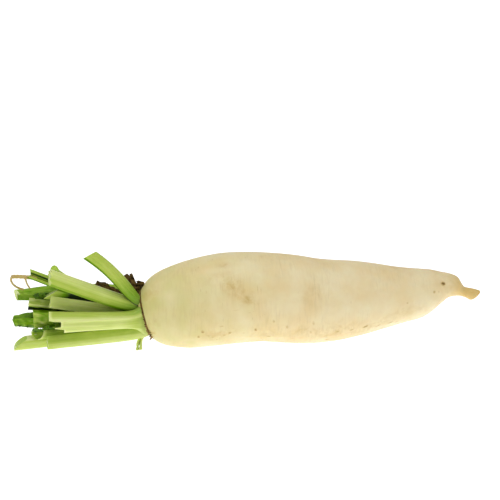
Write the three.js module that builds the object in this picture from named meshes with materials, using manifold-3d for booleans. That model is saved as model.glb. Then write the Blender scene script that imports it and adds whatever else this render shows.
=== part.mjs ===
// A daikon radish, pulled, washed and trimmed: one long white root that lies on its side, with a fan of
// leaf stalks cut a hand's width above the crown. Millimetres, +Z up, +X from the crown to the tail, and
// z = 0 is the surface that it lies on. The origin is under the middle of the whole radish.
import * as THREE from "three";
import { mergeVertices } from "three/addons/utils/BufferGeometryUtils.js";
import Module from "manifold-3d";

const wasm = await Module();
wasm.setup();

const { sin, cos, abs, exp, hypot, min, max, PI } = Math;
const degree = PI / 180;
const gap = 0.35; // clear space left between pieces that grow against each other
const vec = (x, y, z) => new THREE.Vector3(x, y, z);

// ---------- the crown: the plate that the leaves grow from ----------
const crownHeight = 26.8; // of its middle above the table, lower than the root's own middle
const crownLean = Math.tan(16.5 * degree); // the plate's top leans out over the leaves
const crownTurn = Math.tan(10 * degree); // and so does its near side
const crownEdge = 17.5; // radius of the plate
const crownMiddle = vec(3.2, 0, crownHeight);
const crownOut = vec(-1, crownTurn, -crownLean).normalize();
const crownTop = vec(-crownLean, 0, 1).normalize();
const leafRun = vec(-1, 0, 0.02); // the way that the leaves head as they leave the crown
const crownNear = vec(-crownTurn, -1, 0).normalize();

// Direction from the crown's middle to its edge: turn 0 is the top, 90 the near side, 180 the bottom.
function crownSpoke(turn) {
  return crownTop.clone().multiplyScalar(cos(turn * degree)).addScaledVector(crownNear, sin(turn * degree));
}

// ---------- the root ----------
const flattened = 0.7; // how deep its weight flattens the skin where it lies on the table
const rootSides = 32;
const rootRings = 48;
const tailSlant = 1.1; // the broken end of the tail, sideways run over height
const rootOutline = [
  // x from the crown, radius, height of the middle
  [2.2, 0, 27.4],
  [2.6, 8, 27.5],
  [3.4, 14.5, 27.5],
  [4.2, 17.6, 27.5],
  [5.4, 19, 27.4],
  [7.2, 21.1, 27.4],
  [10, 23.7, 28],
  [14, 26.6, 29.3],
  [20, 29.4, 30.9],
  [28, 31.8, 32.5],
  [38, 34, 34.2],
  [50, 35.3, 36],
  [63, 35.8, 37.7],
  [79, 35.5, 38.9],
  [95, 35.3, 38.8],
  [112, 35.1, 36.8],
  [128, 34.5, 34.9],
  [144, 33.1, 33.3],
  [160, 31.6, 32.8],
  [176, 29.3, 33.3],
  [193, 25.8, 34.1],
  [209, 22.5, 34.7],
  [225, 19.7, 35.8],
  [234, 16.7, 38],
  [242, 12.5, 40.6],
  [248, 9.7, 42.4],
  [253.5, 8.2, 42.1],
  [256.6, 7.1, 41],
  [259.2, 5.1, 38.5],
  [261.8, 3.9, 36.5],
  [266.4, 3.7, 35.1],
  [270.6, 3.4, 33.5],
  [271.6, 1.8, 33.2],
  [271.8, 0, 33.1],
];

// How far the root's middle swings away from the straight, to the far side.
const rootSwing = (x) => 3.5 * sin((x / 274) * PI) * (x / 274) - 1.2 * sin((x / 150) * PI);

// Slow unevenness all round, so that no section is a true circle.
function rootUnevenness(x, around) {
  const oval = 0.012 * cos(2 * around - 0.9) + 0.008 * cos(3 * around + x / 45);
  const waists = 0.006 * sin(x / 9 + 2 * sin(around)) * min(1, x / 60);
  return 1 + (oval + waists) * min(1, max(0, (x - 4) / 12));
}

// A lathe solid of the outline, bent along the root's own middle line. grow makes it larger all over.
function rootSolid(grow = 0) {
  const curve = new THREE.CatmullRomCurve3(rootOutline.map((p) => vec(...p)), false, "catmullrom", 0.5);
  const rings = [];
  for (let i = 0; i <= rootRings; i++) {
    const along = i / rootRings;
    const point = curve.getPoint(along);
    const run = curve.getTangent(along);
    const steep = hypot(run.x, run.y);
    const onAxis = i === 0 || i === rootRings;
    point.x -= (grow * run.y) / steep;
    point.y = onAxis ? 0 : max(point.y + (grow * run.x) / steep, 0.2);
    rings.push(point);
  }
  const geometry = new THREE.LatheGeometry(rings.map((p) => new THREE.Vector2(p.y, p.x)), rootSides);
  const spot = geometry.getAttribute("position");
  for (let i = 0; i < spot.count; i++) {
    const ring = rings[i % rings.length];
    const around = Math.atan2(spot.getX(i), spot.getZ(i));
    const radius = ring.y * rootUnevenness(ring.x, around);
    const up = radius * cos(around);
    const far = radius * sin(around);
    const upright = exp(-((max(0, ring.x - 4.2) / 26) ** 1.4)); // the crown's lean dies away along the root
    const slant = tailSlant * min(1, max(0, (ring.x - 262) / 8));
    const height = max(ring.z + up - flattened, -grow);
    const x = ring.x - (crownLean * up - crownTurn * far) * upright + slant * up;
    spot.setXYZ(i, x, rootSwing(ring.x) + far, height);
  }
  return solidOf(geometry);
}

// Short side roots that are left near the tail, fused to it.
const sideRoots = [
  // x along the root, degrees round from the top to the far side, length, radius
  [254, 185, 5, 1.1],
  [236, 118, 4, 0.9],
  [190, 104, 4.5, 1],
];

function sideRootSolid([x, turn, length, radius]) {
  const curve = new THREE.CatmullRomCurve3(rootOutline.map((p) => vec(...p)), false, "catmullrom", 0.5);
  let ring = curve.getPoint(0);
  for (let along = 0; ring.x < x; along += 0.002) ring = curve.getPoint(along);
  const out = vec(0.45, sin(turn * degree), cos(turn * degree)).normalize();
  const sunk = 3;
  const skin = vec(x, rootSwing(x), ring.z - flattened).addScaledVector(out, ring.y - sunk);
  const cone = new THREE.CylinderGeometry(0.35 * radius, radius, length + sunk, 5);
  cone.translate(0, (length + sunk) / 2, 0);
  cone.applyQuaternion(new THREE.Quaternion().setFromUnitVectors(vec(0, 1, 0), out));
  return solidOf(cone.translate(skin.x, skin.y, skin.z));
}

// ---------- leaf stalks ----------
// turn and seat place the foot on the crown: degrees from the top to the near side, and mm from the middle.
// foot is its width and depth there, flare how fast it narrows to the stalk's own wide and deep, taper and
// pinch how much that narrows along the stalk and over its last fifth. splay is how far the foot leans
// outwards, bulge how far it runs before the stalk straightens, and lastRun the way it heads at the tip.
// fullness below 0.85 makes the round back boxier; channel and curl hollow the other face and bend its
// margins in. cut slants the trimmed end across and through the stalk, roundEnd and bevel round it off, and
// each of nicks takes a block out of it, from and to so far across and so far back. twist turns the channel
// on its way, in degrees.
const stalkSides = 14;
const stalkSteps = 10;
const stripSides = 6;

// Stalk 10's skin has peeled at its tip: a dried strip that hangs in a loop and a strand over stalk 7.
const peeledSkin = [
  { knots: [[-81, 6, 57], [-88, 3.5, 58.8], [-94, 2, 60.6], [-100.6, 2, 60.2]], wide: 3.8, deep: 1.4 },
  { knots: [[-99.6, 2, 60.6], [-102.4, 3, 57], [-100.5, 9, 49], [-92.5, 15.5, 44.6]], wide: 2, deep: 1.6 },
  { knots: [[-89.7, 2, 58.6], [-89.8, 4, 54.5], [-88.6, 9, 50], [-87, 15.5, 45]], wide: 1.8, deep: 1.5 },
];

const stalks = [
  {
    turn: 36, seat: 13.5, tip: [-38.4, -15, 81.8], wide: 10.5, deep: 7, foot: [7.5, 5],
    splay: 1.6, bulge: 13, lastRun: [-25, -3, 20], taper: 0, cut: [-0.62, 0.1],
  },
  {
    turn: 90, seat: 13.5, tip: [-72, -25, 30.9], wide: 12.4, deep: 9.5, foot: [36, 6], flare: 6.5,
    splay: 0.35, bulge: 12, taper: -0.32, taperBend: 2, fullness: 0.5, curl: 0.08, cut: [0, 0.1],
    nicks: [[3.4, -1.7, 9.4], [-1.7, -3.4, 4.7], [-3.4, -20, 12]],
  },
  {
    turn: 143, seat: 14.5, tip: [-74, -22, 13.6], wide: 13.5, deep: 9.5, foot: [14, 5],
    splay: 0.2, bulge: 12,
  },
  {
    turn: 182, seat: 14, tip: [-101, -5, 7.2], wide: 13.5, deep: 11, foot: [12, 5.5],
    splay: 0, bulge: 12, channel: 0, curl: 0.06, bevel: { face: -1, start: -6, bend: 0.13 },
  },
  {
    turn: 222, seat: 14, tip: [-69, 24, 8.5], wide: 11.5, deep: 8.5, foot: [12, 5.5],
    splay: 0.2, bulge: 12,
  },
  {
    turn: 262, seat: 14.5, tip: [-62, 28, 25], wide: 13, deep: 8.5, foot: [14, 5.5],
    splay: 0.6, bulge: 12, cut: [-0.3, 0],
  },
  {
    turn: 310, seat: 14, tip: [-97.5, 20, 38.7], wide: 16, deep: 9.5, foot: [13, 5.5],
    splay: 0.35, bulge: 28, taper: 0.15, pinch: 0.28, cut: [0.4, 0.5],
  },
  {
    turn: 320, seat: 7, tip: [-67, 8, 62.6], wide: 8, deep: 7, foot: [7, 5],
    splay: 0, bulge: 20, lastRun: [-2, -12, 14],
  },
  {
    turn: 42, seat: 8, tip: [-71, -17, 65.8], wide: 12.8, deep: 8.5, foot: [10.5, 5.5],
    splay: 0.6, bulge: 13, taper: 0, cut: [0.2, 0], roundEnd: 2,
  },
  {
    turn: 230, seat: 1.5, tip: [-86, 5, 60.6], wide: 11, deep: 7, foot: [7, 5],
    splay: 0, bulge: 14, taper: 0.32, cut: [0, -0.8], strips: peeledSkin,
  },
  {
    turn: 150, seat: 8, tip: [-81.5, -10, 17], wide: 10, deep: 9, foot: [8, 5],
    splay: 0, bulge: 12, fullness: 0.55, cut: [-1.1, 0],
  },
  {
    turn: 208, seat: 7.5, tip: [-101, 8, 21.2], wide: 12.5, deep: 12, foot: [8, 5],
    splay: 0, bulge: 12, lastRun: [-25, 2, -4], taper: 0.05, pinch: 0.35, twist: 25, cut: [0, -0.2],
    roundEnd: 3, bevel: { face: -1, start: 1, bend: 0.3 },
  },
  {
    turn: 288, seat: 8, tip: [-60, 30, 41], wide: 9.5, deep: 7, foot: [8, 5],
    splay: 0.3, bulge: 9,
  },
  {
    turn: 100, seat: 2.5, tip: [-71, -8, 41.2], wide: 10.5, deep: 7.5, foot: [6, 5],
    splay: 0, bulge: 14,
  },
  {
    turn: 250, seat: 3, tip: [-88, 6, 36.2], wide: 10, deep: 9, foot: [6, 5],
    splay: 0, bulge: 14, twist: 60,
  },
  {
    turn: 172, seat: 4.5, tip: [-84.5, -4, 28.8], wide: 15, deep: 15.5, foot: [6, 4.5],
    splay: 0, bulge: 16, cut: [0, -0.1],
  },
  {
    turn: 0, seat: 1.5, tip: [-72.5, 2, 44], wide: 9, deep: 9, foot: [5, 4.5],
    splay: 0.1, bulge: 12, cut: [0, -1.2],
  },
];
stalks.forEach((stalk, i) => (stalk.name = "leaf_stalk_" + String(i + 1).padStart(2, "0")));

// The small forked leaf that hangs from the underside of the crown.
const youngLeaf = [
  {
    turn: 163, seat: 15, tip: [-3.2, -13, 0.9], wide: 2.8, deep: 2, foot: [3, 2],
    splay: 0, bulge: 6, lastRun: [1.5, 0, -6],
  },
  {
    turn: 163, seat: 15, tip: [-0.9, -13, 1.1], wide: 4, deep: 2.4, foot: [3, 2],
    splay: 0, bulge: 6, lastRun: [0.5, -1, -8],
  },
];
// Withered leaves on top of the crown: one in the fan's fork, and a stump with a spike and a scrap beside it.
const witheredLeaves = [
  [
    {
      turn: 20, seat: 9, tip: [-35, 2, 51.7], wide: 9, deep: 6, foot: [6, 4],
      splay: 0.2, bulge: 7, shrivel: 0.3,
    },
  ],
  [
    {
      turn: 6, seat: 14, tip: [-12, 4, 57.6], wide: 7, deep: 4, foot: [10, 4],
      splay: 1.2, bulge: 5, shrivel: 0.25,
    },
    { turn: 355, seat: 15, tip: [-6.8, 6, 58.2], wide: 2.2, deep: 1.8, foot: [4, 3], splay: 2, bulge: 6 },
    {
      turn: 358, seat: 15.5, tip: [0.5, 2, 53], wide: 8, deep: 4, foot: [12, 4],
      splay: 1.5, bulge: 2, shrivel: 0.25,
    },
  ],
];

function stalkPath(stalk) {
  if (stalk.knots) {
    const knots = stalk.knots.map((knot) => vec(...knot));
    const curve = new THREE.CubicBezierCurve3(...knots);
    return { spoke: vec(0, -0.6, 0.8), curve, length: knots[0].distanceTo(knots[3]) };
  }
  const spoke = crownSpoke(stalk.turn);
  const sunk = 2.5; // the foot starts inside the crown, and is trimmed to it
  const foot = crownMiddle.clone().addScaledVector(spoke, stalk.seat).addScaledVector(crownOut, -sunk);
  const leave = leafRun.clone().addScaledVector(spoke, stalk.splay).normalize();
  const tip = vec(...stalk.tip);
  const first = foot.clone().addScaledVector(leave, stalk.bulge + sunk);
  const second = foot.clone().addScaledVector(leave, 0.8 * stalk.bulge).lerp(tip, 0.38);
  if (stalk.lastRun) second.copy(tip).sub(vec(...stalk.lastRun));
  const curve = new THREE.CubicBezierCurve3(foot, first, second, tip);
  return { spoke, curve, length: foot.distanceTo(tip) };
}

// The way a stalk runs at a place along it, its round back's way out, and the way from margin to margin.
function stalkFrame(stalk, path, along) {
  const run = path.curve.getTangent(along);
  const back = path.spoke.clone().addScaledVector(run, -path.spoke.dot(run)).normalize();
  back.applyAxisAngle(run, (stalk.twist ?? 0) * degree * along);
  return { run, back, side: run.clone().cross(back) };
}

// How far the trimmed end runs ahead of the tip, or behind it.
function trimmedBy(stalk, across, out) {
  const [cutAcross, cutThrough] = stalk.cut ?? [0, 0];
  let ahead = cutAcross * across + cutThrough * out;
  if (stalk.roundEnd) ahead -= stalk.roundEnd * ((across / stalk.wide) * 2) ** 4;
  if (stalk.bevel) ahead -= stalk.bevel.bend * max(0, stalk.bevel.face * out - stalk.bevel.start) ** 2;
  return ahead;
}

// A point on the skin of a stalk: along from foot to tip, around from one margin over the round back (which
// faces away from the crown's middle) to the other margin and back through the channel. grow fattens it.
function stalkPoint(stalk, path, along, around, grow = 0, share = 1) {
  const [footWide, footDeep] = stalk.foot ?? [stalk.wide, stalk.deep];
  const nearFoot = exp((-along * path.length) / (stalk.flare ?? 12));
  const pinch = (stalk.pinch ?? 0) * THREE.MathUtils.smoothstep(along, 0.82, 1);
  const taper = 1 - (stalk.taper ?? 0.12) * along ** (stalk.taperBend ?? 1) - pinch;
  const wide = (stalk.wide * taper + (footWide - stalk.wide) * nearFoot) / 2;
  const deep = stalk.deep * taper + (footDeep - stalk.deep) * nearFoot + 2 * grow;
  const wrap = (wide * wide) / (2 * ((stalk.seat ?? 12) + 6)); // the foot curves round the crown
  const curl = (stalk.curl ?? 0.2) * stalk.wide * (1 - nearFoot) + wrap * nearFoot;
  const c = cos(around);
  const s = sin(around);
  let across = (wide + grow) * c;
  let out = s > 0 ? 0.62 * deep * s ** (stalk.fullness ?? 0.85) : -0.38 * deep * abs(s) ** 0.6;
  if (s < 0) out += ((stalk.channel ?? 0.24) * deep - grow) * (1 - nearFoot) * (1 - abs(c) ** 1.6);
  out -= curl * (c * c - 0.35);
  if (stalk.shrivel) {
    const crumple = 1 + stalk.shrivel * sin(5 * around + 19 * along) * cos(3 * around - 23 * along);
    across *= crumple;
    out *= crumple + stalk.shrivel * sin(31 * along);
  }
  const { run, back, side } = stalkFrame(stalk, path, along);
  const ahead = trimmedBy(stalk, across, out) * along ** 4;
  return path.curve.getPoint(along)
    .addScaledVector(side, across * share)
    .addScaledVector(back, out * share)
    .addScaledVector(run, ahead * share + grow * along ** 4);
}

// A unit cylinder whose rings are laid along the stalk, with its nicks cut and its strips joined on.
function stalkSolid(stalk, grow = 0, sides = stalkSides, steps = stalkSteps) {
  const path = stalkPath(stalk);
  const geometry = new THREE.CylinderGeometry(1, 1, 1, sides, steps);
  const spot = geometry.getAttribute("position");
  for (let i = 0; i < spot.count; i++) {
    const level = spot.getY(i) + 0.5;
    const along = level ** 1.25; // closer rings near the foot
    const around = Math.atan2(spot.getX(i), spot.getZ(i));
    const share = min(1, hypot(spot.getX(i), spot.getZ(i)));
    const point = stalkPoint(stalk, path, along, around, grow, share);
    spot.setXYZ(i, point.x, point.y, max(point.z, grow ? -1 : 0));
  }
  let solid = solidOf(geometry);
  for (const nick of stalk.nicks ?? []) solid = solid.subtract(nickSolid(stalk, path, nick, grow));
  for (const strip of stalk.strips ?? []) solid = solid.add(stalkSolid(strip, grow, stripSides, steps));
  return solid;
}

// The block that a nick in a stalk's end is cut with.
function nickSolid(stalk, path, [from, to, back], grow) {
  const { run, back: out, side } = stalkFrame(stalk, path, 1);
  const long = 2 * back; // well past the end
  const block = new THREE.BoxGeometry(from - to - 2 * grow, 4 * stalk.deep, long);
  block.translate((from + to) / 2, 0, long / 2 - back + grow);
  const stand = new THREE.Matrix4().makeBasis(side, out, run);
  return solidOf(block.applyMatrix4(stand.setPosition(path.curve.getPoint(1))));
}

// ---------- leaf lobes: what is left of the leaf blades along the stalks ----------
// from and to are where the lobe sits along its stalk, towards the way that it stands out, and reach how
// far its edge is from there. rise lifts it off the stalk's middle line.
const lobeThick = 1;
const lobes = [
  { stalk: 11, from: 0.8, to: 0.97, towards: [0, -0.5, -1], reach: 8.4, waves: 2.5 },
  { stalk: 14, from: 0.84, to: 0.98, towards: [0, -0.2, 1], reach: 5.5, waves: 2.5, rise: [0, 0, 4] },
  { stalk: 15, from: 0.7, to: 0.9, towards: [0, -0.8, -0.5], reach: 9.5, waves: 2.5 },
  { stalk: 10, from: 0.86, to: 1.03, towards: [0, -0.7, 0.7], reach: 7, waves: 2.5, rise: [0, -1, 1.2] },
];
lobes.forEach((lobe, i) => (lobe.name = "leaf_lobe_" + String(i + 1).padStart(2, "0")));

// u runs along the stalk, v from its middle line to the frilled edge.
function lobePoint(lobe, u, v) {
  const { curve } = stalkPath(stalks[lobe.stalk]);
  const along = lobe.from + (lobe.to - lobe.from) * (0.5 + (u - 0.5) * (0.8 + 0.2 * v));
  const run = curve.getTangent(min(along, 1));
  const towards = vec(...lobe.towards);
  towards.addScaledVector(run, -towards.dot(run)).normalize();
  const face = run.clone().cross(towards);
  const outline = (0.55 + 0.45 * max(0, sin(PI * u)) ** 0.7) * (1 + 0.1 * sin(2 * PI * lobe.waves * u + 1));
  const frill = 1.6 * max(0, v - 0.35) * sin(2 * PI * lobe.waves * u);
  return curve.getPoint(min(along, 1))
    .add(vec(...(lobe.rise ?? [0, 0, 0])))
    .addScaledVector(run, curve.getLength() * max(0, along - 1))
    .addScaledVector(towards, v * lobe.reach * outline)
    .addScaledVector(face, frill);
}

// Two skins of the same grid, joined round their rim, so that both faces are split alike.
function lobeSolid(lobe) {
  const across = 12;
  const outwards = 4;
  const plane = new THREE.PlaneGeometry(1, 1, across, outwards);
  const grid = plane.getAttribute("position");
  const count = grid.count;
  const spots = new Float32Array(count * 6);
  const step = 0.01;
  for (let i = 0; i < count; i++) {
    const u = grid.getX(i) + 0.5;
    const v = grid.getY(i) + 0.5;
    const here = lobePoint(lobe, u, v);
    const alongU = lobePoint(lobe, u + step, v).sub(here);
    const alongV = lobePoint(lobe, u, v + step).sub(here);
    const normal = alongU.cross(alongV).normalize();
    const half = (lobeThick / 2) * (1 - 0.3 * v);
    here.clone().addScaledVector(normal, half).toArray(spots, i * 3);
    here.clone().addScaledVector(normal, -half).toArray(spots, (count + i) * 3);
  }
  const faces = [];
  const front = plane.index.array;
  for (let i = 0; i < front.length; i += 3) {
    faces.push(front[i], front[i + 1], front[i + 2]);
    faces.push(count + front[i], count + front[i + 2], count + front[i + 1]);
  }
  const row = across + 1;
  const rim = [];
  for (let i = 0; i < across; i++) rim.push(i);
  for (let i = 0; i < outwards; i++) rim.push(across + i * row);
  for (let i = across; i > 0; i--) rim.push(outwards * row + i);
  for (let i = outwards; i > 0; i--) rim.push(i * row);
  rim.forEach((a, i) => {
    const b = rim[(i + 1) % rim.length];
    faces.push(a, b, count + b, a, count + b, count + a);
  });
  const geometry = new THREE.BufferGeometry();
  geometry.setAttribute("position", new THREE.BufferAttribute(spots, 3));
  geometry.setIndex(faces);
  return solidOf(geometry);
}

// ---------- the collar: the dry ring of old leaf bases where stalks and root meet ----------
const collarSides = 32;
const collarRadius = 19.6;
const collarThick = 1.2;
const collarScales = 20;

function collarSolid() {
  const middle = crownMiddle.clone().addScaledVector(crownOut, -2.6); // it lies over the root's edge
  const place = (turn, radius, out) =>
    middle.clone().addScaledVector(crownSpoke(turn), radius).addScaledVector(crownOut, out);
  const ring = new THREE.TorusGeometry(collarRadius, 1, 5, collarSides);
  const spot = ring.getAttribute("position");
  for (let i = 0; i < spot.count; i++) {
    const turn = Math.atan2(spot.getY(i), spot.getX(i)) / degree;
    const rough = 1 + 0.2 * sin((turn * PI) / 15) + 0.15 * sin((turn * PI) / 9 + 1);
    const outwards = (hypot(spot.getX(i), spot.getY(i)) - collarRadius) * collarThick * rough;
    const point = place(turn, collarRadius + outwards + 0.8, -1.6 * rough * spot.getZ(i));
    spot.setXYZ(i, point.x, point.y, point.z);
  }
  const random = seeded(7);
  let collar = solidOf(ring);
  for (let i = 0; i < collarScales; i++) {
    const turn = ((i + 0.6 * random()) * 360) / collarScales;
    const low = max(0, cos((turn - 138) * degree)) ** 3; // the longest ones hang from the near underside
    const length = 2.8 + 1.5 * random() + 2.6 * low;
    const scale = new THREE.ConeGeometry(1.3 + 0.5 * random() + 0.5 * low, length, 5);
    scale.scale(1, 1, 0.45).translate(0, length / 2 - 1, 0);
    const spoke = crownSpoke(turn);
    const point = crownOut.clone().multiplyScalar(0.9 - 0.7 * low).addScaledVector(spoke, 0.7);
    point.z -= 0.5 * low;
    point.normalize();
    const side = point.clone().cross(spoke).normalize();
    const turned = new THREE.Matrix4().makeBasis(side, point, side.clone().cross(point));
    scale.applyMatrix4(turned.setPosition(place(turn, collarRadius + 1, 0)));
    collar = collar.add(solidOf(scale));
  }
  return collar;
}

// ---------- solids ----------
function solidOf(geometry) {
  const bare = new THREE.BufferGeometry().setAttribute("position", geometry.getAttribute("position"));
  bare.setIndex(geometry.index);
  const merged = mergeVertices(bare, 1e-3);
  const kept = [];
  for (let i = 0; i < merged.index.count; i += 3) {
    const [a, b, c] = merged.index.array.slice(i, i + 3);
    if (a !== b && b !== c && c !== a) kept.push(a, b, c);
  }
  const vertProperties = merged.getAttribute("position").array;
  const closed = () =>
    new wasm.Manifold(new wasm.Mesh({ numProp: 3, vertProperties, triVerts: new Uint32Array(kept) }));
  const solid = closed();
  if (solid.volume() > 0) return solid;
  for (let i = 0; i < kept.length; i += 3) [kept[i + 1], kept[i + 2]] = [kept[i + 2], kept[i + 1]];
  return closed();
}

// The largest body of a solid: a scrap that a cut leaves loose is dropped.
const largest = (solid) => solid.decompose().reduce((a, b) => (a.volume() > b.volume() ? a : b));

function seeded(seed) {
  let state = seed;
  return () => (state = (state * 16807) % 2147483647) / 2147483647;
}

function mesh(name, solid, material) {
  const { numProp, numVert, vertProperties, triVerts } = solid.getMesh();
  const spots = new Float32Array(numVert * 3);
  for (let i = 0; i < numVert; i++) spots.set(vertProperties.subarray(i * numProp, i * numProp + 3), i * 3);
  const geometry = new THREE.BufferGeometry().setAttribute("position", new THREE.BufferAttribute(spots, 3));
  geometry.setIndex(new THREE.BufferAttribute(triVerts, 1)).computeVertexNormals();
  const made = new THREE.Mesh(geometry, material);
  made.name = name;
  return made;
}

// ---------- materials ----------
const skin = new THREE.MeshStandardMaterial({ color: 0xe9ddbb, roughness: 0.45, metalness: 0 });
const stalkGreen = new THREE.MeshStandardMaterial({ color: 0xb4cb74, roughness: 0.4, metalness: 0 });
const leafGreen = new THREE.MeshStandardMaterial({ color: 0x5f8f22, roughness: 0.55, metalness: 0 });
const dryBrown = new THREE.MeshStandardMaterial({ color: 0x6b5230, roughness: 0.85, metalness: 0 });

// ---------- the radish ----------
const radish = new THREE.Group();
const finest = 0.01; // mm: detail smaller than this, left by the cuts, is smoothed away
let taken = rootSolid(gap); // everything placed so far, grown by the gap

function grow(name, solid, fatter, material) {
  const trimmed = largest(solid.subtract(taken).simplify(finest));
  taken = taken.add(fatter);
  radish.add(mesh(name, trimmed, material));
}

// Several stalks that are one piece.
const together = (pieces, grow, sides, steps) =>
  pieces.map((piece) => stalkSolid(piece, grow, sides, steps)).reduce((a, b) => a.add(b));

const root = sideRoots.reduce((whole, side) => whole.add(sideRootSolid(side)), rootSolid());
radish.add(mesh("root", root, skin));
for (const stalk of stalks) grow(stalk.name, stalkSolid(stalk), stalkSolid(stalk, gap), stalkGreen);
grow("young_leaf", together(youngLeaf, 0, 8, 7), together(youngLeaf, gap, 8, 7), stalkGreen);
witheredLeaves.forEach((leaf, i) => {
  grow("withered_leaf_0" + (i + 1), together(leaf, 0, 10, 9), together(leaf, gap, 10, 9), dryBrown);
});
for (const lobe of lobes) {
  const blade = lobeSolid(lobe);
  grow(lobe.name, blade, blade, leafGreen);
}
const collar = collarSolid();
grow("leaf_collar", collar, collar, dryBrown);

const whole = new THREE.Box3().setFromObject(radish);
const middle = whole.getCenter(vec(0, 0, 0));
radish.position.set(-middle.x, -middle.y, -whole.min.z);

export default radish;
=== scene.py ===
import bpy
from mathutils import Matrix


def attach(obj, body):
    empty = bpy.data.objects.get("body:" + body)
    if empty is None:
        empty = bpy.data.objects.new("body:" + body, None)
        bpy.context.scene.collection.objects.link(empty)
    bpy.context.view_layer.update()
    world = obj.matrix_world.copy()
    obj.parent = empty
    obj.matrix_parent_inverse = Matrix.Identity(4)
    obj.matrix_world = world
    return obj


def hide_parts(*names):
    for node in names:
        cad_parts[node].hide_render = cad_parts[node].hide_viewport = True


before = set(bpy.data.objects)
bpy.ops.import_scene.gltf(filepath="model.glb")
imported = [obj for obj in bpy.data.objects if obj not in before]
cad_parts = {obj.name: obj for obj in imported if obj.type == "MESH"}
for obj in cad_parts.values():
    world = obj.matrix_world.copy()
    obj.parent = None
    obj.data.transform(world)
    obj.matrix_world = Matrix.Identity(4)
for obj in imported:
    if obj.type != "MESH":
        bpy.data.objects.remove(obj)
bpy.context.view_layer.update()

import functools
import random
from math import atan2, ceil, cos, degrees, exp, hypot, pi, radians, sin, tan, tau

import bmesh
import bpy
from mathutils import Matrix, Quaternion, Vector, kdtree, noise
from mathutils.geometry import interpolate_bezier

# Lengths in the tables are millimetres from the crown: x towards the tail, y away from the viewer, z up
# from the table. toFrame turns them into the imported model's metres.
toFrame = Matrix.Translation((-0.086283, -0.000035, 0)) @ Matrix.Scale(0.001, 4)

noise.seed_set(5)  # noise_vector shifts by this seed, and by the clock without it


# Materials: shared helpers

def paint(code):  # a screen colour as Blender's linear one
    parts = [int(code[i:i + 2], 16) / 255 for i in (0, 2, 4)]
    return [p / 12.92 if p <= 0.04045 else ((p + 0.055) / 1.055) ** 2.4 for p in parts] + [1]


def addNode(tree, kind, sockets=None, output=0, **settings):
    node = tree.nodes.new("ShaderNode" + kind)
    for name, value in settings.items():
        setattr(node, name, value)
    for name, value in (sockets or {}).items():
        if isinstance(value, bpy.types.NodeSocket):
            tree.links.new(value, node.inputs[name])
        else:
            node.inputs[name].default_value = value
    return node.outputs[output] if node.outputs else node


colourMix = {"output": 2, "data_type": "RGBA"}  # a Mix of colours: socket 0 is the share, 6 and 7 the colours


def startMaterial(name):  # gives the material, and addNode bound to its tree
    material = bpy.data.materials.new(name)
    material.use_nodes = True
    material.node_tree.nodes.clear()
    return material, functools.partial(addNode, material.node_tree)


def finishMaterial(add, sockets):
    add("OutputMaterial", {"Surface": add("BsdfPrincipled", sockets)})


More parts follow.
